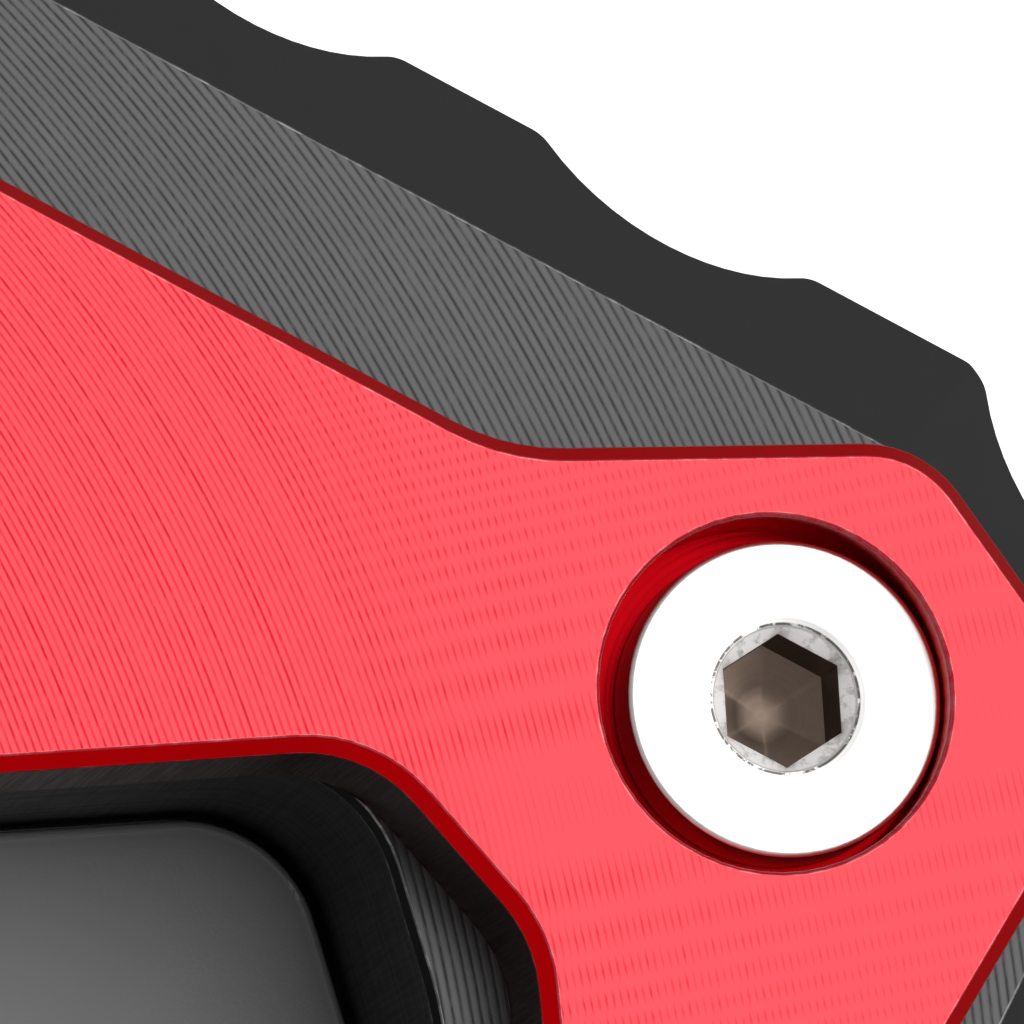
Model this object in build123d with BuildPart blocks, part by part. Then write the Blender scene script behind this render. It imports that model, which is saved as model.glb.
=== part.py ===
from build123d import *

import os
from math import atan, cos, degrees, radians, sin, tan

# A clamp-on foot plate that enlarges the foot of a motorcycle's kickstand.
#
# Two machined aluminium plates grip the stand's own foot between them: a thick scalloped base plate
# with a pocket for the foot, and a thinner clamp plate with a window for the stand's leg. A rubber
# pad lines the pocket, and four low-head socket screws pull the clamp plate down.
#
# Frame: millimetres, +Z up. The origin is at the centre of the base plate's underside, +X runs along
# the plate's long side and +Y across it. The foot sits turned by foot_angle about +Z.

# ---- base plate -------------------------------------------------------------------------------
base_length = 104.3
base_width = 76.7
base_thickness = 15.5
edge_bevel = 5.5  # 45 degree bevel round the top face
corner_cut_x = 15.87  # how much of each long side a corner facet takes
corner_cut_y = 8.24  # how much of each short side it takes
corner_round = 3.0
underside_break = 0.8

scallop_radius = 8.3
scallop_depth = 1.9
long_side_end_space = 0.424  # plain run left at the two ends of a long side, in pitches
short_side_end_space = 0.672
long_side_scallops = 4
short_side_scallops = 3
facet_scallop_start = 6.2  # from the long side's corner to the middle of the scallop on the facet
crest_round = 1.25

grip_groove_width = 2.4
grip_groove_depth = 0.8
grip_groove_pitch = 10.0
grip_groove_count = 8
grip_groove_inset = 11.0  # from the long side to a groove's end

# ---- foot pocket and its pad ------------------------------------------------------------------
foot_angle = 32.0
foot_centre = (12.5, -6.1)
pocket_length = 42.0
pocket_width = 24.0
pocket_depth = 12.5
pocket_end_taper_x = 1.8
pocket_end_taper_y = 9.0
pocket_shoulder_round = 5.0
pocket_end_round = 12.0
pocket_edge_break = 0.3

pad_thickness = 1.5
pad_clearance = 0.2
pad_edge_round = 0.4

# ---- clamp plate ------------------------------------------------------------------------------
clamp_thickness = 5.0
clamp_edge_break = 0.55
clamp_margin = 0.15  # from the base's flat top to the tip of an ear
clamp_side_margin = 0.46  # from the base's flat top to the clamp's short side
clamp_waist = 2.0  # how far a short side draws in at its middle
ear_tip_offset = 0.8  # an ear's tip, outboard of its screw
clamp_shoulder = 3.3  # the straight long edge, outboard of the screws' centre line
ear_inner_angle = 29.2  # of an ear's inner flank, from the long side
ear_tip_round = 4.0
ear_root_round = 8.0
ear_corner_round = 3.0
clamp_underside_break = 0.3

window_length = 38.0
window_width = 20.0
window_offset = (5.3, 1.5)  # from the pocket's centre, in the foot's own axes
window_cut_x = 5.2
window_cut_y = 7.0
window_round = 5.0

# The plate rests pushed over in its screw holes, until this much is left beside a screw.
clamp_play_angle = 209.15  # from +X
clamp_play_left = 0.055

# ---- M6 low-head socket screws ----------------------------------------------------------------
screw_inset = (17.75, 16.15)  # of a screw's centre, from the base's short and long sides
screw_diameter = 6.0
screw_length = 12.0  # under the head
screw_head_diameter = 11.1
screw_head_height = 2.2
screw_head_break = 0.15
screw_tip_break = 0.7
screw_head_recess = 1.15  # head top below the clamp's top face
socket_across_flats = 4.06
socket_depth = 2.9
socket_lead_diameter = 5.1
socket_lead_depth = 0.4
socket_cone_depth = 0.8

thread_clearance = 0.05  # radial
thread_bottom_room = 1.5
thread_mouth_break = 0.5
clamp_hole_clearance = 0.7  # radial
counterbore_clearance = 0.65  # radial
counterbore_break = 0.12

# ---- worked out from the sizes above ------------------------------------------------------------
half_length = base_length / 2
half_width = base_width / 2
screw_centre = (half_length - screw_inset[0], half_width - screw_inset[1])
long_side_run = base_length - 2 * corner_cut_x
short_side_run = base_width - 2 * corner_cut_y
long_side_pitch = long_side_run / (long_side_scallops + long_side_end_space)
short_side_pitch = short_side_run / (short_side_scallops + short_side_end_space)
facet_slope = corner_cut_y / corner_cut_x
facet_angle = degrees(atan(facet_slope))
facet_run = (cos(radians(facet_angle)), -sin(radians(facet_angle)))
facet_normal = (-facet_run[1], facet_run[0])
clamp_hole_diameter = screw_diameter + 2 * clamp_hole_clearance
counterbore_diameter = screw_head_diameter + 2 * counterbore_clearance
counterbore_depth = screw_head_recess + screw_head_height
clamp_play = min(clamp_hole_clearance, counterbore_clearance) - clamp_play_left
clamp_shift = (
    clamp_play * cos(radians(clamp_play_angle)),
    clamp_play * sin(radians(clamp_play_angle)),
)
screw_seat_height = base_thickness + clamp_thickness - counterbore_depth
thread_depth = screw_length - (clamp_thickness - counterbore_depth) + thread_bottom_room
socket_floor_height = screw_head_height - socket_depth
screw_sides = ((1, 1), (-1, 1), (-1, -1), (1, -1))
screw_positions = [(x_side * screw_centre[0], y_side * screw_centre[1]) for x_side, y_side in screw_sides]


def mirror_quarter(quarter):
    """The closed outline, counterclockwise, whose +X +Y quarter runs from its short side to its long side."""
    right = quarter + [(-x, y) for x, y in reversed(quarter)]
    outline = right + [(-x, -y) for x, y in right]
    return [point for i, point in enumerate(outline) if point != outline[i - 1]]


def four_times(point):
    """A point in each of the four quarters."""
    return [(sx * point[0], sy * point[1]) for sx in (1, -1) for sy in (1, -1)]


def scallop_centres():
    """The cutter's centres: along both long sides, both short sides and the four corner facets."""
    stand_off = scallop_radius - scallop_depth
    centres = []
    for i in range(long_side_scallops):
        x = (i - (long_side_scallops - 1) / 2) * long_side_pitch
        centres += [(x, half_width + stand_off), (x, -half_width - stand_off)]
    for i in range(short_side_scallops):
        y = (i - (short_side_scallops - 1) / 2) * short_side_pitch
        centres += [(half_length + stand_off, y), (-half_length - stand_off, y)]
    facet_x = half_length - corner_cut_x + facet_scallop_start * facet_run[0] + stand_off * facet_normal[0]
    facet_y = half_width + facet_scallop_start * facet_run[1] + stand_off * facet_normal[1]
    return centres + four_times((facet_x, facet_y))


def on_foot_axes(height):
    """A plane at this height whose origin and X axis are the stand foot's own."""
    turn = radians(foot_angle)
    return Plane((*foot_centre, height), x_dir=(cos(turn), sin(turn), 0), z_dir=(0, 0, 1))


def vertices_at(sketch, corners, tolerance=0.01):
    """The vertices of a sketch in XY that lie at any of these local points."""
    found = ShapeList()
    for x, y in corners:
        found += sketch.vertices().filter_by(lambda v: abs(v.X - x) < tolerance and abs(v.Y - y) < tolerance)
    return found


# The base's plain outline, before the scallops.
short_side_corner = (half_length, half_width - corner_cut_y)
long_side_corner = (half_length - corner_cut_x, half_width)
base_corners = mirror_quarter([short_side_corner, long_side_corner])

# The pocket follows the stand's foot: straight sides, tapered and rounded ends.
pocket_shoulder = (pocket_length / 2 - pocket_end_taper_x, pocket_width / 2)
pocket_end = (pocket_length / 2, pocket_width / 2 - pocket_end_taper_y)

with BuildSketch() as pocket_outline:
    Polygon(*mirror_quarter([pocket_end, pocket_shoulder]), align=None)
    fillet(vertices_at(pocket_outline, four_times(pocket_shoulder)), pocket_shoulder_round)
    fillet(vertices_at(pocket_outline, four_times(pocket_end)), pocket_end_round)

with BuildPart() as base_plate:
    # A prism bevelled along straight lines, cut by the scalloped outline from above.
    with BuildSketch():
        Polygon(*base_corners, align=None)
    extrude(amount=base_thickness)
    chamfer(base_plate.edges().group_by(Axis.Z)[-1], edge_bevel)
    with BuildSketch() as scalloped_outline:
        Polygon(*base_corners, align=None)
        fillet(vertices_at(scalloped_outline, four_times(short_side_corner)), corner_round)
        arc_ends = scalloped_outline.vertices().filter_by(lambda v: abs(abs(v.Y) - half_width) > 0.01)
        with Locations(*scallop_centres()):
            Circle(scallop_radius, mode=Mode.SUBTRACT)
        crest_ends = scalloped_outline.vertices().filter_by(
            lambda v: all((v.center() - end.center()).length > 0.01 for end in arc_ends)
        )
        fillet(crest_ends, crest_round)
    extrude(amount=base_thickness, mode=Mode.INTERSECT)
    chamfer(base_plate.faces().sort_by(Axis.Z)[0].outer_wire().edges(), underside_break)
    # Pocket for the stand's foot.
    with BuildSketch(on_foot_axes(base_thickness)):
        add(pocket_outline.sketch)
    extrude(amount=-pocket_depth, mode=Mode.SUBTRACT)
    pocket_rim = base_plate.faces().sort_by(Axis.Z)[-1].inner_wires()
    chamfer(pocket_rim[0].edges(), pocket_edge_break)
    # Threaded holes for the clamp screws, with a broken edge at the mouth.
    thread_radius = screw_diameter / 2 + thread_clearance
    with Locations(*[(x, y, base_thickness) for x, y in screw_positions]):
        CounterSinkHole(
            radius=thread_radius,
            counter_sink_radius=thread_radius + thread_mouth_break,
            depth=thread_depth,
            counter_sink_angle=90,
        )
    # Grip grooves across the underside.
    with BuildSketch():
        with GridLocations(grip_groove_pitch, 0, grip_groove_count, 1):
            SlotOverall(base_width - 2 * grip_groove_inset, grip_groove_width, rotation=90)
    extrude(amount=grip_groove_depth, mode=Mode.SUBTRACT)

with BuildPart() as pocket_pad:
    with BuildSketch(on_foot_axes(base_thickness - pocket_depth)):
        add(pocket_outline.sketch)
        offset(amount=-pad_clearance, mode=Mode.REPLACE)
    extrude(amount=pad_thickness)
    fillet(pocket_pad.faces().sort_by(Axis.Z)[-1].edges(), pad_edge_round)

# The clamp plate's outline: an ear over each screw, straight long edges, waisted short sides.
ear_tip = (screw_centre[0] + ear_tip_offset, half_width - edge_bevel - clamp_margin)
ear_corner_x = half_length - edge_bevel - clamp_side_margin
ear_corner = (ear_corner_x, ear_tip[1] - facet_slope * (ear_corner_x - ear_tip[0]))
ear_root_y = screw_centre[1] + clamp_shoulder
ear_root = (ear_tip[0] - (ear_tip[1] - ear_root_y) / tan(radians(ear_inner_angle)), ear_root_y)
clamp_corners = mirror_quarter([(ear_corner_x - clamp_waist, 0.0), ear_corner, ear_tip, ear_root])

# The window's outline, a rectangle with cut corners.
window_corners = mirror_quarter(
    [
        (window_length / 2, window_width / 2 - window_cut_y),
        (window_length / 2 - window_cut_x, window_width / 2),
    ]
)

with BuildPart() as clamp_plate:
    with BuildSketch(Plane.XY.offset(base_thickness)) as clamp_outline:
        Polygon(*clamp_corners, align=None)
        fillet(vertices_at(clamp_outline, four_times(ear_tip)), ear_tip_round)
        fillet(vertices_at(clamp_outline, four_times(ear_root)), ear_root_round)
        fillet(vertices_at(clamp_outline, four_times(ear_corner)), ear_corner_round)
    extrude(amount=clamp_thickness)
    with BuildSketch(on_foot_axes(base_thickness)) as window_outline:
        with Locations(window_offset):
            Polygon(*window_corners, align=None)
        fillet(window_outline.vertices(), window_round)
    extrude(amount=clamp_thickness, mode=Mode.SUBTRACT)
    chamfer(clamp_plate.faces().sort_by(Axis.Z)[-1].edges(), clamp_edge_break)
    chamfer(clamp_plate.faces().sort_by(Axis.Z)[0].outer_wire().edges(), clamp_underside_break)
    # Counterbored clearance holes.
    with Locations(*[(x, y, base_thickness + clamp_thickness) for x, y in screw_positions]):
        CounterBoreHole(
            radius=clamp_hole_diameter / 2,
            counter_bore_radius=counterbore_diameter / 2,
            counter_bore_depth=counterbore_depth,
            depth=clamp_thickness,
        )
        # The broken rim of each counterbore.
        Cone(
            bottom_radius=counterbore_diameter / 2,
            top_radius=counterbore_diameter / 2 + counterbore_break,
            height=counterbore_break,
            align=(Align.CENTER, Align.CENTER, Align.MAX),
            mode=Mode.SUBTRACT,
        )


def make_screw():
    """A low-head socket screw standing on its seat, the head's underside at Z = 0."""
    with BuildPart() as screw:
        with BuildSketch():
            Circle(screw_head_diameter / 2)
        extrude(amount=screw_head_height)
        chamfer(screw.edges().group_by(Axis.Z)[-1], screw_head_break)
        with BuildSketch():
            Circle(screw_diameter / 2)
        extrude(amount=-screw_length)
        chamfer(screw.edges().group_by(Axis.Z)[0], screw_tip_break)
        with BuildSketch(Plane.XY.offset(screw_head_height)):
            RegularPolygon(socket_across_flats / 2, 6, major_radius=False)
        extrude(amount=-socket_depth, mode=Mode.SUBTRACT)
        # The lead-in round the hexagon's mouth, and the drill point below its floor.
        with Locations((0, 0, screw_head_height)):
            Cone(
                bottom_radius=socket_across_flats / 2,
                top_radius=socket_lead_diameter / 2,
                height=socket_lead_depth,
                align=(Align.CENTER, Align.CENTER, Align.MAX),
                mode=Mode.SUBTRACT,
            )
        with Locations((0, 0, socket_floor_height)):
            Cone(
                bottom_radius=0,
                top_radius=socket_across_flats / 2,
                height=socket_cone_depth,
                align=(Align.CENTER, Align.CENTER, Align.MAX),
                mode=Mode.SUBTRACT,
            )
    return screw.part


os.makedirs("parts", exist_ok=True)

base_plate.part.label = "base_plate"
export_step(base_plate.part, "parts/base_plate.step")

pocket_pad.part.label = "pocket_pad"
export_step(pocket_pad.part, "parts/pocket_pad.step")

clamp_part = Pos(*clamp_shift, 0) * clamp_plate.part
clamp_part.label = "clamp_plate"
export_step(clamp_part, "parts/clamp_plate.step")

screw_blank = make_screw()
for number, (x, y) in enumerate(screw_positions, start=1):
    screw_part = Pos(x, y, screw_seat_height) * screw_blank
    screw_part.label = f"clamp_screw_{number}"
    export_step(screw_part, f"parts/clamp_screw_{number}.step")
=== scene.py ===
# %% [markdown]
# # A side-stand foot enlarger
#
# The object is a foot plate for a motorcycle's side stand. A black anodised base holds the
# stand's foot in a rubber-lined pocket, a red anodised plate closes over it, and four stainless
# screws pull the two plates together. The CAD model fixes every size, so this script works in
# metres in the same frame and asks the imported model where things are. It adds what CAD leaves
# out: finishes, machining marks, broken edges, screw threads and the crown of the rubber.

import math
import random

import bmesh
import bpy
from mathutils import Matrix, Vector


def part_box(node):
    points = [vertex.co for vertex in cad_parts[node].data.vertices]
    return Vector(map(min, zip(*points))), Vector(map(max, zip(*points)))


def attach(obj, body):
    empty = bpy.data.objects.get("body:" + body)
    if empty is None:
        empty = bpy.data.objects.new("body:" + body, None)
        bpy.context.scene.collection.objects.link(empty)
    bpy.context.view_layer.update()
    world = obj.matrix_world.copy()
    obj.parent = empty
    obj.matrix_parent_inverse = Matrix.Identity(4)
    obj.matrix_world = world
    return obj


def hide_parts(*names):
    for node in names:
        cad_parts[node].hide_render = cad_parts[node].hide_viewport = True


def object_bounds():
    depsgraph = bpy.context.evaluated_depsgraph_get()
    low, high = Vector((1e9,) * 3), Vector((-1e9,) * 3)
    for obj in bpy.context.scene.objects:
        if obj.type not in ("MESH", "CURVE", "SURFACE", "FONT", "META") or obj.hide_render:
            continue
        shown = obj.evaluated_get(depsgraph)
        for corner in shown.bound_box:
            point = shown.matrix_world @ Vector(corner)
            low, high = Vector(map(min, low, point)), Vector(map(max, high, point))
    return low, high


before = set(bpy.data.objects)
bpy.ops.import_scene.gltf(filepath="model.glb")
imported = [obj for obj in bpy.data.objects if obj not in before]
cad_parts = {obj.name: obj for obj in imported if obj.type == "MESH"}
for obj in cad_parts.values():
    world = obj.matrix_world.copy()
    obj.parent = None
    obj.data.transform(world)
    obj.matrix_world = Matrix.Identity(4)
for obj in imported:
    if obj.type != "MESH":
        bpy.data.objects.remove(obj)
cad_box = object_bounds()
MM = 0.001
print("CAD box in mm:", [[round(v / MM, 2) for v in corner] for corner in cad_box])

# %% Read where the parts are
base_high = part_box("base_plate")[1]
clamp_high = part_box("clamp_plate")[1]
pad_low, pad_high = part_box("pocket_pad")
screw_boxes = {n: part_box(n) for n in sorted(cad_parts) if n.startswith("clamp_screw")}


def box_centre(box):
    """The middle of a box's footprint, in metres."""
    return (box[0] + box[1]) / 2


first_screw = box_centre(screw_boxes["clamp_screw_1"])
first_screw_high = screw_boxes["clamp_screw_1"][1]
print("first screw stands at", [round(v / MM, 2) for v in first_screw])

# %% [markdown]
# ## Camera
#
# The picture is a close view of one corner, taken almost straight down through a long lens. A
# long lens from far away keeps parallel edges parallel, which is how product close-ups are
# made. The camera aims a little to one side of the first screw, at the height of the red
# plate's top, and it is rolled so that the plate lies diagonally across the picture.

# %% The camera
CAMERA_AZIMUTH = math.radians(-25.9)
CAMERA_HEIGHT = math.radians(74)
CAMERA_ROLL = math.radians(53.13)
CAMERA_DISTANCE = 1.5
VIEW_WIDTH = 35.2 * MM
SENSOR_WIDTH = 36.0

aim = Vector((first_screw.x - 11.51 * MM, first_screw.y + 0.99 * MM, clamp_high.z))
towards_camera = Vector(
    (
        math.sin(CAMERA_AZIMUTH) * math.cos(CAMERA_HEIGHT),
        -math.cos(CAMERA_AZIMUTH) * math.cos(CAMERA_HEIGHT),
        math.sin(CAMERA_HEIGHT),
    )
)
camera_data = bpy.data.cameras.new("close_view")
camera_data.sensor_width = SENSOR_WIDTH
camera_data.lens = SENSOR_WIDTH * CAMERA_DISTANCE / VIEW_WIDTH
camera_data.clip_start, camera_data.clip_end = 0.01, 20
camera = bpy.data.objects.new("close_view", camera_data)
camera.matrix_world = (
    Matrix.Translation(aim + CAMERA_DISTANCE * towards_camera)
    @ Matrix.Rotation(CAMERA_AZIMUTH, 4, "Z")
    @ Matrix.Rotation(math.radians(90) - CAMERA_HEIGHT, 4, "X")
    @ Matrix.Rotation(CAMERA_ROLL, 4, "Z")
)
bpy.context.scene.collection.objects.link(camera)
bpy.context.scene.camera = camera
print("lens", round(camera_data.lens, 1), "mm at", CAMERA_DISTANCE, "m")

# %% [markdown]
# ## Light
#
# Polished metal shows what stands around it more than it shows its own colour. One broad soft
# panel overhead fills the mirror direction of every level face, so the plates' tops come out
# bright and even, and the chamfers, which look past the panel, fall to a deep shade. The
# panel is hidden from the camera so that it never blocks a view from above.

# %% The overhead panel and the room
PANEL_SIZE = 0.9
PANEL_PLACE = (0.36, 0.44, 0.62)
PANEL_BRIGHTNESS = 1.9
ROOM_GREY = 0.62
ROOM_STRENGTH = 0.75

panel_data = bpy.data.lights.new("soft_panel", "AREA")
panel_data.shape = "SQUARE"
panel_data.size = PANEL_SIZE
panel_data.energy = PANEL_BRIGHTNESS * math.pi * PANEL_SIZE**2
panel = bpy.data.objects.new("soft_panel", panel_data)
panel.location = PANEL_PLACE
panel.visible_camera = False
bpy.context.scene.collection.objects.link(panel)

room = bpy.data.worlds.new("pale_room")
room.use_nodes = True
backdrop = room.node_tree.nodes["Background"]
backdrop.inputs["Color"].default_value = (ROOM_GREY, ROOM_GREY, ROOM_GREY, 1)
backdrop.inputs["Strength"].default_value = ROOM_STRENGTH
bpy.context.scene.world = room
bpy.context.scene.view_settings.view_transform = "Standard"
print("panel power", round(panel_data.energy, 2), "W")

# %% [markdown]
# ## Shader maths as plain expressions
#
# A procedural finish is arithmetic on the point being shaded: how far along the cut it lies,
# how near it is to a ring, how strong the grain is there. Node graphs hide that arithmetic in
# wires. The class below wraps one socket, so that `1 - ring * 0.3` adds the Math nodes it
# needs, and one method adds every other kind of node.


# %% One wrapped socket
class Wire:
    """One socket of a node tree. Arithmetic on wires adds Math nodes to the tree."""

    def __init__(self, tree, socket=None):
        self.tree, self.socket = tree, socket

    def add(self, kind, settings=None, sockets=None, output=0):
        """Adds a node, sets its settings first and then its sockets, and returns one output."""
        node = self.tree.nodes.new(kind)
        for name, value in (settings or {}).items():
            setattr(node, name, value)
        for key, value in (sockets or {}).items():
            if isinstance(value, Wire):
                self.tree.links.new(value.socket, node.inputs[key])
            else:
                node.inputs[key].default_value = value
        return Wire(self.tree, node.outputs[output]) if node.outputs else None

    def maths(self, operation, *values):
        return self.add("ShaderNodeMath", {"operation": operation}, dict(enumerate(values)))

    def __add__(self, other):
        return self.maths("ADD", self, other)

    def __sub__(self, other):
        return self.maths("SUBTRACT", self, other)

    def __rsub__(self, other):
        return self.maths("SUBTRACT", other, self)

    def __mul__(self, other):
        return self.maths("MULTIPLY", self, other)

    def __truediv__(self, other):
        return self.maths("DIVIDE", self, other)

    def __rtruediv__(self, other):
        return self.maths("DIVIDE", other, self)

    __radd__, __rmul__ = __add__, __mul__

    def step(self, start, end, low=0.0, high=1.0):
        """A smooth rise from low to high as this value goes from start to end."""
        return self.add(
            "ShaderNodeMapRange",
            {"interpolation_type": "SMOOTHSTEP"},
            {"Value": self, "From Min": start, "From Max": end, "To Min": low, "To Max": high},
        )


# %% Colours and the shader itself
def blend(mask, first, second):
    """The first colour where the mask is 0 and the second where it is 1."""
    return mask.add("ShaderNodeMix", {"data_type": "RGBA"}, {0: mask, 6: first, 7: second}, 2)


def grey(value):
    """A neutral colour with its alpha."""
    return (value, value, value, 1)


def new_material(name):
    """An empty material and a wire to build it from."""
    material = bpy.data.materials.new(name)
    material.use_nodes = True
    material.node_tree.nodes.clear()
    return material, Wire(material.node_tree)


def surface(wire, sockets):
    """Ends a material in one Principled shader with these sockets."""
    shader = wire.add("ShaderNodeBsdfPrincipled", None, sockets)
    wire.add("ShaderNodeOutputMaterial", None, {"Surface": shader})


def place_mm(wire):
    """The point's x, y and z on the piece, in millimetres."""
    point = wire.add("ShaderNodeTexCoord", None, None, "Object")
    scaled = wire.add(
        "ShaderNodeVectorMath", {"operation": "SCALE"}, {0: point, "Scale": 1 / MM}
    )
    parts = [wire.add("ShaderNodeSeparateXYZ", None, {0: scaled}, i) for i in range(3)]
    return scaled, *parts


def face_level(wire):
    """How level the face is: 1 on a top or underside, 0 on an upright wall."""
    normal = wire.add("ShaderNodeTexCoord", None, None, "Normal")
    return wire.maths("ABSOLUTE", wire.add("ShaderNodeSeparateXYZ", None, {0: normal}, 2))


def upright_lines(wire, point):
    """The fine upright lines that the side of an end mill leaves on a wall."""
    return noise(wire, stretched(wire, point, (9, 9, 0.25)), 1.0, 3, 0.6)


def bumped(wire, height, depth):
    """A normal from a height of about 0 to 1, which stands for this depth in metres."""
    return wire.add(
        "ShaderNodeBump", None, {"Strength": 1.0, "Distance": depth, "Height": height}
    )


def metal(wire, colour, rough, normal=None):
    """Ends a material in a bare metal surface."""
    sockets = {"Base Color": colour, "Metallic": 1.0, "Roughness": rough}
    if normal:
        sockets["Normal"] = normal
    surface(wire, sockets)


def noise(wire, point, scale, detail=2.0, rough=0.5):
    """Soft random values about 0.5; scale is in cycles per millimetre."""
    return wire.add(
        "ShaderNodeTexNoise",
        {"noise_dimensions": "3D"},
        {"Vector": point, "Scale": scale, "Detail": detail, "Roughness": rough},
        "Fac",
    )


def stretched(wire, point, scales, turn=0.0):
    """The point turned about Z, then scaled by three factors, for grain that runs one way."""
    return wire.add(
        "ShaderNodeMapping",
        {"vector_type": "TEXTURE"},
        {
            "Vector": point,
            "Rotation": (0, 0, turn),
            "Scale": tuple(1 / s for s in scales),
        },
    )


print("shader helpers ready")

# %% [markdown]
# ## Face-milled tops
#
# Both plates' tops are finished with a wide face mill. Each insert leaves a fine arc, one arc
# for each turn of the cutter, and where the back of the cutter touches too it leaves a second
# set that curves the other way. Where the two sets cross, the dark grooves break into rows of
# short dashes. So each groove is found from the distance along the feed and the arc's rise at
# that distance from the cutter's path, in pitches: half way between whole numbers is a groove.

# %% Arcs of a face mill
FEED_ANGLE = math.radians(40.25)


LEADING, TRAILING = -1, 1


def on_the_feed(wire, x, y, start, path_offset, lane):
    """Distances along the feed, and across it from the middle of the cutter's lane."""
    cos, sin = math.cos(FEED_ANGLE), math.sin(FEED_ANGLE)
    along = (x - start[0]) * cos + (y - start[1]) * sin
    across = (x - start[0]) * sin - (y - start[1]) * cos - path_offset
    return along, wire.maths("WRAP", across, lane / 2, -lane / 2)


def arc_count(wire, along, across, radius, pitch, side, lag=0.0):
    """Which arc of one set the point lies on, counted in pitches."""
    rise = wire.maths("SQRT", radius**2 - across * across)
    return (along + side * rise) / pitch + lag


def from_middle(wire, count):
    """Distance from the middle of the groove, from 0 to 0.5 of a pitch."""
    return wire.maths("ABSOLUTE", wire.maths("FRACT", count) - 0.5)


def random_depth(wire, count):
    """A random value for each whole arc, because no two inserts cut alike."""
    number = wire.maths("FLOOR", count)
    return wire.add(
        "ShaderNodeTexWhiteNoise", {"noise_dimensions": "1D"}, {"W": number}, "Value"
    )


print("feed runs at", round(math.degrees(FEED_ANGLE), 2), "degrees")

# %% [markdown]
# ## Black anodised aluminium
#
# Black anodising is a thin dyed oxide over aluminium. It is dark, but it reflects like a
# metal, so the tops turn mid grey under the panel while the walls stay almost black; the
# upright walls and the sloped faces in the pocket are also given a near-black colour as painted
# shade.
# The top carries the face mill's arcs, the bevel is a smooth form-tool cut, and the upright
# walls have fine vertical lines from the side of an end mill and the odd level step between its
# passes.

# %% Black anodised finish
pad_centre = box_centre((pad_low, pad_high))
MARK_START = tuple(v / MM for v in first_screw[:2])
BLACK_TOP = base_high.z / MM
BLACK_ARC_RADIUS, BLACK_ARC_PITCH = 64, 0.334
POCKET_REACH = (24.5, 26)
BLACK_LAND = (0.080, 0.078, 0.079, 1)
BLACK_GROOVE = (0.024, 0.024, 0.024, 1)
BLACK_PATCH = (0.092, 0.087, 0.086, 1)
# Painted shade: the sloped faces inside the pocket are darker than the outer bevel of the same
# metal.
BLACK_POCKET_PAINTED_SHADE = (0.016, 0.016, 0.016, 1)
BLACK_BEVEL = (0.073, 0.073, 0.073, 1)
# Painted shade: every upright wall gets a near-black colour, far darker than the top of the
# same metal.
BLACK_WALL_PAINTED_SHADE = (0.010, 0.009, 0.010, 1)


def black_finish():
    """Milled arcs on the top, a smooth bevel, walls with upright lines and level steps, and
    painted shade on the walls and in the pocket.
    """
    material, wire = new_material("black_anodised_aluminium")
    point, x, y, z = place_mm(wire)
    along, across = on_the_feed(wire, x, y, MARK_START, path_offset=3.3, lane=110)
    lead = arc_count(wire, along, across, BLACK_ARC_RADIUS, BLACK_ARC_PITCH, LEADING)
    groove = from_middle(wire, lead)
    groove = 0.55 * groove.step(0.34, 0.08) + 0.45 * groove.step(0.12, 0.0)
    patchy = noise(wire, point, 0.45, 3)
    fine = noise(wire, stretched(wire, point, (7, 1.6, 7), FEED_ANGLE), 1.0, 3)
    broken = fine.step(0.30, 0.55, 0.6, 1.0) * (0.75 + 0.25 * random_depth(wire, lead))
    marks = groove * broken * z.step(BLACK_TOP - 0.05, BLACK_TOP - 0.01)

    level = face_level(wire)
    upright = level.step(0.35, 0.05)
    sloped = upright.step(1.0, 0.0) * level.step(0.95, 0.85)
    dx, dy = x - pad_centre.x / MM, y - pad_centre.y / MM
    # Distance from the pad's centre marks the pocket, where the painted shade goes.
    outside = wire.maths("SQRT", dx * dx + dy * dy).step(*POCKET_REACH)
    level_steps = noise(wire, stretched(wire, point, (0.08, 0.08, 3.2)), 1.0, 1)
    lines = 0.6 * upright_lines(wire, point).step(0.35, 0.7)
    wall = upright * (lines + 0.4 * level_steps.step(0.45, 0.6))

    colour = blend(marks, BLACK_LAND, BLACK_GROOVE)
    colour = blend(patchy.step(0.3, 0.75) * 0.12, colour, BLACK_PATCH)
    # Painted shade on the sloped faces inside the pocket; the outer bevel keeps its own colour.
    colour = blend(sloped * (1 - outside), colour, BLACK_POCKET_PAINTED_SHADE)
    colour = blend(sloped * outside, colour, BLACK_BEVEL)
    # Painted shade on the upright walls, with a little variation from the wall texture.
    colour = blend(upright * (0.93 + 0.07 * wall), colour, BLACK_WALL_PAINTED_SHADE)
    rough = 0.30 + 0.10 * patchy + 0.10 * marks + 0.10 * wall
    height = wall * 0.8 - marks + 0.12 * fine
    metal(wire, colour, rough, bumped(wire, height, 0.006 * MM))
    return material


# %% The bright line on an edge: worn coat and a painted highlight
def worn_and_highlighted_edge(name, scale, spread, coat, bare, smooth, scuffed):
    """An edge with pale bare-metal patches, part wear and part painted highlight."""
    material, wire = new_material(name)
    wear_and_highlight_mask = noise(wire, place_mm(wire)[0], scale, 4, 0.6)
    # The pale bare colour, and a coat paler than the top, are partly a painted highlight along
    # the edge.
    metal(wire, blend(wear_and_highlight_mask.step(*spread), coat, bare), smooth + scuffed * wear_and_highlight_mask)
    return material


black_material = black_finish()
# Black edge: a coat a little paler than the top and pale grey bare patches, wear and painted
# highlight.
black_edge_material = worn_and_highlighted_edge(
    "black_anodised_edge", 1.3, (0.45, 0.72), (0.10, 0.10, 0.10, 1), (0.26, 0.255, 0.25, 1),
    smooth=0.28, scuffed=0.2,
)
print(black_material.name, "has", len(black_material.node_tree.nodes), "nodes")
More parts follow.
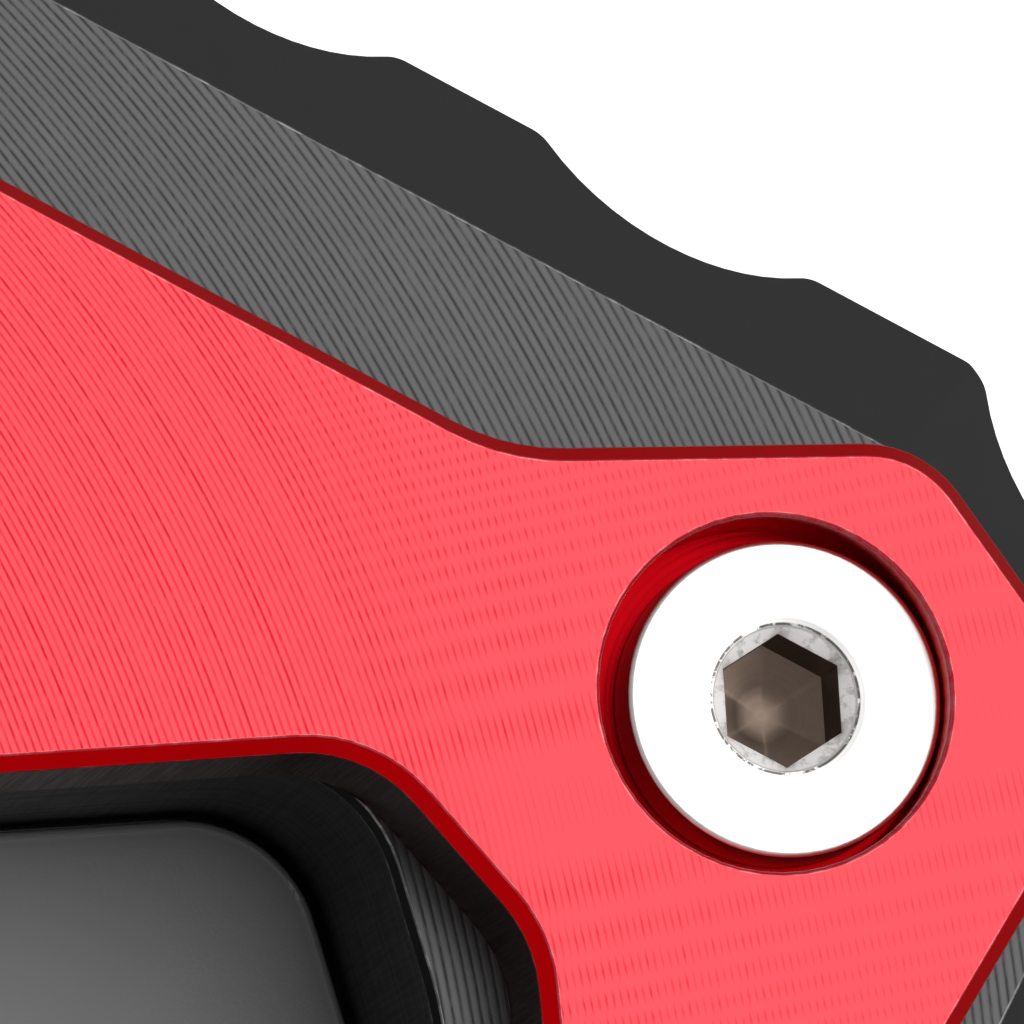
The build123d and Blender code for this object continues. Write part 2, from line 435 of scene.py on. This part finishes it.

# %% [markdown]
# ## Red anodised aluminium
#
# Red dye sits in the same kind of oxide, and the metal under it shines through, so red is a
# metallic colour here. The top has finer arcs than the black plate, and its red is paler and
# pinker than the chamfer's: a painted sheen of the clear oxide. Its rim is a diamond-cut
# chamfer, smooth and deep red, and the screw's counterbore is turned, with rings around it.
# The upright walls and the deep part of each counterbore are darkened as painted shade.

# %% Red anodised finish
RED_TOP = clamp_high.z / MM
RED_ARC_RADIUS, RED_ARC_PITCH, TRAIL_LAG = 50, 0.268, 0.516
CROSSED_FROM = (-18.0, -8.0)
BORE_REACH = (6.9, 6.3)
# The top's land colour holds a painted sheen: paler and pinker than the chamfer red, standing
# in for the oxide's reflection.
RED_LAND_AND_SHEEN = (0.60, 0.052, 0.064, 1)
RED_GROOVE = (0.42, 0.006, 0.018, 1)
# Pale patches of random tone, tinted with the same painted sheen.
RED_PATCH_AND_SHEEN = (0.62, 0.07, 0.085, 1)
RED_CHAMFER = (0.78, 0.001, 0.004, 1)
# Painted shade: upright walls get a near-black red, far darker than the chamfer of the same
# metal.
RED_WALL_PAINTED_SHADE = (0.045, 0.002, 0.003, 1)
RED_RIM = (0.62, 0.09, 0.12, 1)
# Painted shade: the deep part of each counterbore is darkened.
RED_BORE_PAINTED_SHADE = (0.30, 0.001, 0.004, 1)
RED_RING = (0.25, 0.004, 0.008, 1)
SCREW_PLACES = [box_centre(b) for b in screw_boxes.values()]


def nearest_screw_radius(wire, x, y):
    """Distance from the axis of the nearest screw, in millimetres."""
    nearest = None
    for spot in SCREW_PLACES:
        dx, dy = x - spot.x / MM, y - spot.y / MM
        radius = wire.maths("SQRT", dx * dx + dy * dy)
        nearest = radius if nearest is None else wire.maths("MINIMUM", nearest, radius)
    return nearest


def red_finish():
    """Crossed arcs on a top with a painted sheen, deep red chamfers, turned counterbores, and
    walls and deep bores darkened as painted shade.
    """
    material, wire = new_material("red_anodised_aluminium")
    point, x, y, z = place_mm(wire)
    along, across = on_the_feed(wire, x, y, MARK_START, path_offset=2.05, lane=76)
    arcs = (wire, along, across, RED_ARC_RADIUS, RED_ARC_PITCH)
    lead, trail = arc_count(*arcs, LEADING), arc_count(*arcs, TRAILING, TRAIL_LAG)
    patchy = noise(wire, point, 0.35, 3)
    fine = noise(wire, stretched(wire, point, (6, 1.5, 6), FEED_ANGLE), 1.0, 3)
    groove = from_middle(wire, lead).step(0.30, 0.03) * (0.55 + 0.45 * random_depth(wire, lead))
    crossing = from_middle(wire, trail).step(0.36, 0.06)
    crossed = along.step(*CROSSED_FROM)
    dashes = (1.0 - crossed * (1.0 - crossing)) * along.step(3.0, -18.0, 0.45, 1.0)
    top = z.step(RED_TOP - 0.05, RED_TOP - 0.01)
    marks = groove * dashes * fine.step(0.25, 0.6, 0.55, 1.0) * top

    radius = nearest_screw_radius(wire, x, y)
    bore = radius.step(*BORE_REACH) * (1 - top)
    turned = from_middle(wire, radius * 3.1 + z * 3.7).step(0.3, 0.05) * bore * 0.35
    rim = bore * z.step(RED_TOP - 0.45, RED_TOP - 0.3) * patchy.step(0.0, 0.4)
    grit = noise(wire, point, 5.0, 3, 0.7)
    upright = face_level(wire).step(0.35, 0.05)
    wall = upright * upright_lines(wire, point).step(0.35, 0.7) * (1 - bore)

    # The top's land carries the painted sheen; the grooves are darker lines of the milling
    # pattern.
    colour = blend(marks, RED_LAND_AND_SHEEN, RED_GROOVE)
    colour = blend(1 - top, colour, RED_CHAMFER)
    # Painted shade on the upright walls outside the counterbores.
    colour = blend(upright * (1 - bore), colour, RED_WALL_PAINTED_SHADE)
    colour = blend(rim * grit.step(0.3, 0.6), colour, RED_RIM)
    # Painted shade, growing deeper down the counterbore.
    colour = blend(bore * z.step(RED_TOP - 1.2, RED_TOP - 2.8), colour, RED_BORE_PAINTED_SHADE)
    # Pale patches of random tone on the top, with the painted sheen in their tint.
    colour = blend(patchy.step(0.3, 0.8) * top * 0.14, colour, RED_PATCH_AND_SHEEN)
    colour = blend(turned * 0.3 + wall * 0.05, colour, RED_RING)
    rough = 0.26 + 0.10 * marks + 0.06 * patchy + 0.12 * (turned + wall)
    height = 0.7 * wall - marks - turned + 0.1 * fine
    metal(wire, colour, rough, bumped(wire, height, 0.005 * MM))
    return material


# %% The rim of the red plate
red_material = red_finish()
# Red edge: pinkish bare patches are wear and a painted highlight; the coat has the top's
# painted sheen.
red_edge_material = worn_and_highlighted_edge(
    "red_anodised_edge", 1.6, (0.4, 0.75), (0.60, 0.05, 0.065, 1), (0.72, 0.17, 0.18, 1),
    smooth=0.22, scuffed=0.15,
)
print(red_material.name, "has", len(red_material.node_tree.nodes), "nodes")

# %% [markdown]
# ## Stainless steel and rubber
#
# The screws are turned stainless steel: bright, with faint rings round each axis and darker
# ones down the thread. The socket gets a dark brown colour as painted shade, and round its
# mouth a thin dark line and a bright lead-in are painted shade and a painted highlight.
# The rings need each screw's own axis, and because a finished screw's place is in its mesh,
# the nearest of the four axes does for all. The rubber is a matt dark sheet with a fine
# grain, a little dusty on its crown.


# %% Turned steel
STEEL_LIGHT = (0.80, 0.79, 0.77, 1)
STEEL_DARK = (0.66, 0.65, 0.63, 1)
STEEL_SMUDGE = (0.55, 0.53, 0.51, 1)
# Painted shade: a thin dark ring at the socket's mouth, where the chamfer's edge looks dark.
STEEL_PAINTED_DARK_LINE = (0.12, 0.11, 0.10, 1)
# Painted highlight: the lead-in chamfer is made near-white and rough, a bright ring in patches.
STEEL_LEAD_IN_HIGHLIGHT = (0.99, 0.98, 0.97, 1)
# Painted shade: the hex socket gets a dark brown, far darker than the same steel outside.
STEEL_SOCKET_PAINTED_SHADE = (0.16, 0.108, 0.08, 1)
DARK_LINE_RADIUS = 2.62


def steel_finish():
    """Turned rings, a painted dark line and a painted highlight on the lead-in, and a socket
    darkened as painted shade.
    """
    material, wire = new_material("turned_stainless_steel")
    point, x, y, z = place_mm(wire)
    radius = nearest_screw_radius(wire, x, y)
    wobble = noise(wire, point, 0.9, 2)
    profile = wire.add("ShaderNodeCombineXYZ", None, {0: radius, 2: z})
    rings = noise(wire, profile, 9.0, 3, 0.6)
    smudge = noise(wire, point, 0.5, 4, 0.6)
    streaks = noise(wire, stretched(wire, point, (2.2, 2.2, 0.8)), 1.0, 4, 0.62)
    head_top = first_screw_high.z / MM
    socket = z.step(head_top - 0.40, head_top - 0.48) * radius.step(2.6, 2.5)
    lead_in = z.step(head_top - 0.02, head_top - 0.06) * radius.step(2.65, 2.6) * (1 - socket)
    dark_line_mask = wire.maths("ABSOLUTE", radius - DARK_LINE_RADIUS).step(0.07, 0.03)

    colour = blend(rings.step(0.35, 0.7), STEEL_LIGHT, STEEL_DARK)
    colour = blend(smudge.step(0.5, 0.8) * 0.25, colour, STEEL_SMUDGE)
    # Painted dark line round the lead-in, in patches.
    colour = blend(dark_line_mask * streaks.step(0.40, 0.52), colour, STEEL_PAINTED_DARK_LINE)
    # Painted highlight on the lead-in, in patches.
    colour = blend(lead_in * streaks.step(0.66, 0.5), colour, STEEL_LEAD_IN_HIGHLIGHT)
    # Painted shade inside the socket.
    colour = blend(socket * (0.93 + 0.05 * streaks), colour, STEEL_SOCKET_PAINTED_SHADE)
    rough = 0.20 + 0.14 * rings + 0.08 * smudge + 0.45 * lead_in + 0.04 * socket
    height = rings * (1 - 0.8 * socket) + 0.3 * wobble
    metal(wire, colour, rough, bumped(wire, height, 0.004 * MM))
    return material


# %% Grained rubber
RUBBER_CLEAN = (0.255, 0.255, 0.255, 1)
RUBBER_DUSTY = (0.266, 0.265, 0.264, 1)


def rubber_finish():
    """A matt, finely grained sheet with a little dust."""
    material, wire = new_material("grained_rubber")
    point, x, y, z = place_mm(wire)
    grain = noise(wire, point, 9.0, 2, 0.6)
    dust = noise(wire, point, 0.35, 4, 0.6)
    colour = blend(dust.step(0.4, 0.75), RUBBER_CLEAN, RUBBER_DUSTY)
    surface(
        wire,
        {
            "Base Color": colour,
            "Metallic": 0.0,
            "Roughness": 0.42 + 0.14 * dust,
            "Specular IOR Level": 0.6,
            "Normal": bumped(wire, grain, 0.008 * MM),
        },
    )
    return material


steel_material, rubber_material = steel_finish(), rubber_finish()
print(steel_material.name, rubber_material.name)

# %% [markdown]
# ## Plates with broken edges
#
# A machined plate never has a perfectly sharp edge: a deburring pass leaves a narrow flat that
# catches the light as a thin line. The plates' shapes are right in CAD, so each finished plate
# is a copy of its CAD mesh, with the loose triangles merged and the flat faces made whole.
# A narrow Bevel modifier then breaks every edge, and puts the edge finish on it: worn patches
# that also stand as a painted highlight.

# %% Mesh helpers
WELD = 0.002 * MM
FLAT_ANGLE = math.radians(0.4)


def open_copy(node, name):
    """A copy of a CAD node's mesh, with an editable form that has whole flat faces."""
    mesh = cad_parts[node].data.copy()
    mesh.name = name
    shape = bmesh.new()
    shape.from_mesh(mesh)
    bmesh.ops.remove_doubles(shape, verts=shape.verts, dist=WELD)
    bmesh.ops.dissolve_limit(
        shape, angle_limit=FLAT_ANGLE, verts=shape.verts, edges=shape.edges
    )
    bmesh.ops.recalc_face_normals(shape, faces=shape.faces)
    return mesh, shape


def crease(shape, angle):
    """Shades every face smooth and keeps the edges sharper than this angle crisp."""
    for face in shape.faces:
        face.smooth = True
    for edge in shape.edges:
        edge.smooth = edge.calc_face_angle(0) < math.radians(angle)


def close_up(shape, mesh, *materials):
    """Writes the editable form back to its mesh and gives the mesh its materials."""
    shape.to_mesh(mesh)
    shape.free()
    mesh.materials.clear()
    for material in materials:
        mesh.materials.append(material)


def in_scene(name, data):
    """A new object in the scene, at the origin."""
    piece = bpy.data.objects.new(name, data)
    bpy.context.scene.collection.objects.link(piece)
    return piece


# %% Finish a plate
EDGE_BREAK = 0.05 * MM
PLATE_CREASE = 28


def finished_plate(node, name, body, finish, edge_finish):
    """A clean copy of a CAD plate with broken edges, which stands for its CAD node."""
    mesh, shape = open_copy(node, name)
    loose = sum(not e.is_manifold for e in shape.edges)
    crease(shape, PLATE_CREASE)
    for face in shape.faces:
        face.material_index = 0
    weight = shape.edges.layers.float.new("bevel_weight_edge")
    for edge in shape.edges:
        edge[weight] = float(not edge.smooth and edge.is_convex)
    close_up(shape, mesh, finish, edge_finish)
    piece = in_scene(name, mesh)
    edge_break = piece.modifiers.new("broken edges", "BEVEL")
    edge_break.width = EDGE_BREAK
    edge_break.segments = 2
    edge_break.limit_method = "WEIGHT"
    edge_break.use_clamp_overlap = False
    edge_break.harden_normals = True
    edge_break.material = 1
    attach(piece, body)
    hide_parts(node)
    print(name, len(mesh.polygons), "faces,", loose, "open edges")


finished_plate(
    "base_plate", "black_base_plate", "base", black_material,
    black_edge_material,
)
finished_plate(
    "clamp_plate", "red_clamp_plate", "clamp", red_material,
    red_edge_material,
)

# %% [markdown]
# ## Threaded screws by Geometry Nodes
#
# A screw is a rule: a profile turned about an axis, with a helix cut in the shank and a
# hexagon broached into the head. So one Geometry Nodes tree makes all four. It starts from a
# flat grid whose columns go round the axis and whose rows go up the profile, and one formula
# moves every point: the row gives height and radius, the helix adds the thread, and the
# hexagon replaces the circle inside the socket. Each screw gets its own size, place and turn
# from named inputs, and is then made a plain mesh for its own body.

# %% Stations of the profile
AROUND = 72
THREAD_PITCH = 1.0 * MM
THREAD_DEPTH = 0.52 * MM
THREAD_CREST, THREAD_FLANK = 0.12, 0.72
THREAD_RADIUS = 2.98 * MM
HEAD_HEIGHT = 2.2 * MM
SOCKET_APOTHEM = 2.03 * MM
SOCKET_DEPTH = 2.9 * MM
SOCKET_MOUTH = 2.55 * MM
LEAD_IN = 0.4 * MM
DRILL_POINT = 0.8 * MM
SMALL_EDGE = 0.1 * MM
THREAD_ROWS = 120


def profile_stations(radius, head_radius, length):
    """(steps, radius, height, hexagon, thread) up the screw; sizes may be wires or numbers."""
    top = length + HEAD_HEIGHT
    return [
        (0, 0.0, 0.0, 0, 0),
        (1, radius - 0.75 * MM, 0.0, 0, 0),
        (1, radius - 0.62 * MM, 0.04 * MM, 0, 0),
        (4, radius, 0.7 * MM, 0, 1),
        (THREAD_ROWS, radius, length - 1.1 * MM, 0, 1),
        (4, radius - 0.3 * MM, length - 0.6 * MM, 0, 0),
        (1, radius - 0.3 * MM, length - 0.12 * MM, 0, 0),
        (2, radius - 0.15 * MM, length, 0, 0),
        (1, head_radius - 2 * SMALL_EDGE, length, 0, 0),
        (2, head_radius, length + SMALL_EDGE, 0, 0),
        (1, head_radius, top - 2.2 * SMALL_EDGE, 0, 0),
        (1, head_radius - 0.3 * SMALL_EDGE, top - 0.8 * SMALL_EDGE, 0, 0),
        (1, head_radius - 1.2 * SMALL_EDGE, top - 0.1 * SMALL_EDGE, 0, 0),
        (1, head_radius - 2.2 * SMALL_EDGE, top, 0, 0),
        (3, SOCKET_MOUTH + 0.3 * SMALL_EDGE, top, 0, 0),
        (1, SOCKET_MOUTH - 0.3 * SMALL_EDGE, top - 0.3 * SMALL_EDGE, 0, 0),
        (1, SOCKET_APOTHEM, top - LEAD_IN, 1, 0),
        (1, SOCKET_APOTHEM, top - LEAD_IN - 0.3 * SMALL_EDGE, 1, 0),
        (3, SOCKET_APOTHEM, top - SOCKET_DEPTH, 1, 0),
        (2, 0.0, top - SOCKET_DEPTH - DRILL_POINT, 0, 0),
    ]


# %% Build the tree
def screw_tree():
    """A tree that turns one screw out of a grid, from its named sizes."""
    tree = bpy.data.node_groups.new("turned_screw", "GeometryNodeTree")
    face = tree.interface
    face.new_socket("Geometry", in_out="INPUT", socket_type="NodeSocketGeometry")
    for name in ("Axis X", "Axis Y", "Underside", "Thread radius", "Head radius", "Length",
                 "Turn"):
        face.new_socket(name, in_out="INPUT", socket_type="NodeSocketFloat")
    face.new_socket("Geometry", in_out="OUTPUT", socket_type="NodeSocketGeometry")
    wire = Wire(tree)
    size = {
        s.name: Wire(tree, s) for s in tree.nodes.new("NodeGroupInput").outputs if s.name
    }
    stations = profile_stations(size["Thread radius"], size["Head radius"], size["Length"])
    rows = sum(s[0] for s in stations) + 1
    grid = wire.add(
        "GeometryNodeMeshGrid", None, {"Vertices X": AROUND + 1, "Vertices Y": rows}, "Mesh"
    )
    index = wire.add("GeometryNodeInputIndex")
    row = wire.maths("ROUND", wire.maths("MODULO", index, rows))
    column = wire.maths("FLOOR", (index + 0.5) / rows)
    angle = column * (2 * math.pi / AROUND)
    totals = list(stations[0][1:])
    done = 0
    for before, after in zip(stations, stations[1:]):
        share = wire.add(
            "ShaderNodeMapRange", None,
            {"Value": row, "From Min": done, "From Max": done + after[0]},
        )
        for kind, (start, end) in enumerate(zip(before[1:], after[1:])):
            change = end - start
            if isinstance(change, Wire) or change:
                totals[kind] = totals[kind] + share * change
        done += after[0]
    radius, height, hexagon, thread = totals
    groove = from_middle(wire, height / THREAD_PITCH - angle / (2 * math.pi)) * 2
    flank = wire.maths("MAXIMUM", (groove - THREAD_CREST) / THREAD_FLANK, 0.0)
    groove = wire.maths("MINIMUM", flank, 1.0)
    sector = wire.maths("MODULO", angle, math.pi / 3) - math.pi / 6
    corner = 1 / wire.maths("COSINE", sector)
    radius = radius - thread * groove * THREAD_DEPTH
    radius = radius * (1 + hexagon * (corner - 1))
    turned = angle + size["Turn"]
    place = wire.add(
        "ShaderNodeCombineXYZ", None,
        {
            0: size["Axis X"] + radius * wire.maths("COSINE", turned),
            1: size["Axis Y"] + radius * wire.maths("SINE", turned),
            2: size["Underside"] + height,
        },
    )
    moved = wire.add("GeometryNodeSetPosition", None, {"Geometry": grid, "Position": place})
    merged = wire.add(
        "GeometryNodeMergeByDistance", None, {"Geometry": moved, "Distance": WELD}
    )
    real = wire.add("GeometryNodeRealizeInstances", None, {"Geometry": merged})
    painted = wire.add(
        "GeometryNodeSetMaterial", None, {"Geometry": real, "Material": steel_material}
    )
    wire.add("NodeGroupOutput", None, {0: painted})
    return tree


screw_maker = screw_tree()
print("screw tree has", len(screw_maker.nodes), "nodes")

# %% Turn out the four screws
random.seed(6)
SCREW_CREASE = 35


def set_input(modifier, name, value):
    """Sets a named input of a Geometry Nodes modifier by its socket's identifier."""
    for item in modifier.node_group.interface.items_tree:
        if item.item_type == "SOCKET" and item.in_out == "INPUT" and item.name == name:
            modifier[item.identifier] = value


def plain_mesh(holder, name):
    """The evaluated holder as a plain mesh: welded, facing outwards, its edges creased."""
    graph = bpy.context.evaluated_depsgraph_get()
    mesh = bpy.data.meshes.new_from_object(holder.evaluated_get(graph))
    mesh.name = name
    shape = bmesh.new()
    shape.from_mesh(mesh)
    bmesh.ops.remove_doubles(shape, verts=shape.verts, dist=WELD / 2)
    bmesh.ops.recalc_face_normals(shape, faces=shape.faces)
    if shape.calc_volume(signed=True) < 0:
        bmesh.ops.reverse_faces(shape, faces=shape.faces)
    crease(shape, SCREW_CREASE)
    shape.to_mesh(mesh)
    shape.free()
    return mesh


for number, (node, (low, high)) in enumerate(screw_boxes.items(), 1):
    axis = box_centre((low, high))
    holder = in_scene("screw_blank", bpy.data.meshes.new("screw_blank"))
    maker = holder.modifiers.new("screw", "NODES")
    maker.node_group = screw_maker
    set_input(maker, "Axis X", axis.x)
    set_input(maker, "Axis Y", axis.y)
    set_input(maker, "Underside", low.z)
    set_input(maker, "Thread radius", THREAD_RADIUS)
    set_input(maker, "Head radius", (high.x - low.x) / 2)
    set_input(maker, "Length", high.z - low.z - HEAD_HEIGHT)
    set_input(maker, "Turn", 0.0 if number == 1 else random.uniform(0, math.pi / 3))
    screw_mesh = plain_mesh(holder, f"machine_screw_{number}")
    bpy.data.objects.remove(holder)
    screw = in_scene(f"machine_screw_{number}", screw_mesh)
    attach(screw, f"screw_{number}")
    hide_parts(node)
    print(screw.name, len(screw_mesh.polygons), "faces")

# %% [markdown]
# ## The rubber pad
#
# The pad is cut from rubber sheet and pressed into the pocket, where its rim rounds over and
# its middle stands a little proud. It starts from the CAD pad's outline. The top face is inset
# ring by ring, each ring a little higher, and smooth shading joins the rings into one crown.

# %% Crown the pad
PAD_RINGS = ((0.1, 0.025), (0.2, 0.025), (0.5, 0.03), (1.0, 0.03))
PAD_CREASE = 40
TOP_REACH = 0.01 * MM


def crowned_pad():
    """The CAD pad with a rounded rim and a crown that reaches the CAD pad's own height."""
    mesh, shape = open_copy("pocket_pad", "crowned_rubber_pad")
    sink = sum(rise for inset, rise in PAD_RINGS) * MM
    for vertex in shape.verts:
        if vertex.co.z > pad_high.z - TOP_REACH:
            vertex.co.z -= sink
    upward = (face for face in shape.faces if face.normal.z > 0.9)
    crown = max(upward, key=lambda face: face.calc_area())
    for inset, rise in PAD_RINGS:
        bmesh.ops.inset_region(
            shape, faces=[crown], thickness=inset * MM, depth=0, use_even_offset=True
        )
        bmesh.ops.translate(shape, verts=crown.verts, vec=(0, 0, rise * MM))
    crease(shape, PAD_CREASE)
    close_up(shape, mesh, rubber_material)
    pad = in_scene("crowned_rubber_pad", mesh)
    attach(pad, "base")
    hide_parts("pocket_pad")
    return pad


rubber_pad = crowned_pad()
print(rubber_pad.name, len(rubber_pad.data.polygons), "faces")

# %% [markdown]
# ## Floor
#
# The object stands on a plain white sweep. White paper this bright would also light up every
# chamfer, so a studio keeps it out of what the metal sees. Here that is two sheets in one
# place: the white one is seen by the camera, and a grey one is seen only in reflections.


# %% Two sheets of paper
PAPER_RADIUS = 3.0
PAPER_GAP = 0.02 * MM


def paper(name, tone, glow):
    """A round sheet under the object, which isn't part of it."""
    material, wire = new_material(name)
    fibre = noise(wire, place_mm(wire)[0], 0.6, 4, 0.6)
    colour = blend(fibre, grey(tone), grey(tone * 0.97))
    surface(
        wire,
        {
            "Base Color": colour,
            "Roughness": 0.85,
            "Specular IOR Level": 0.1,
            "Emission Color": (1, 1, 1, 1),
            "Emission Strength": glow,
        },
    )
    mesh = bpy.data.meshes.new(name)
    shape = bmesh.new()
    bmesh.ops.create_circle(shape, cap_ends=True, segments=96, radius=PAPER_RADIUS)
    close_up(shape, mesh, material)
    sheet = in_scene(name, mesh)
    sheet.location.z = cad_box[0].z - PAPER_GAP
    return sheet


white_paper = paper("white_paper", 0.93, 0.6)
white_paper.visible_glossy = False
dim_paper = paper("dim_paper", 0.30, 0.0)
dim_paper.visible_camera = False
dim_paper.visible_diffuse = False
dim_paper.visible_shadow = False
print("papers laid")
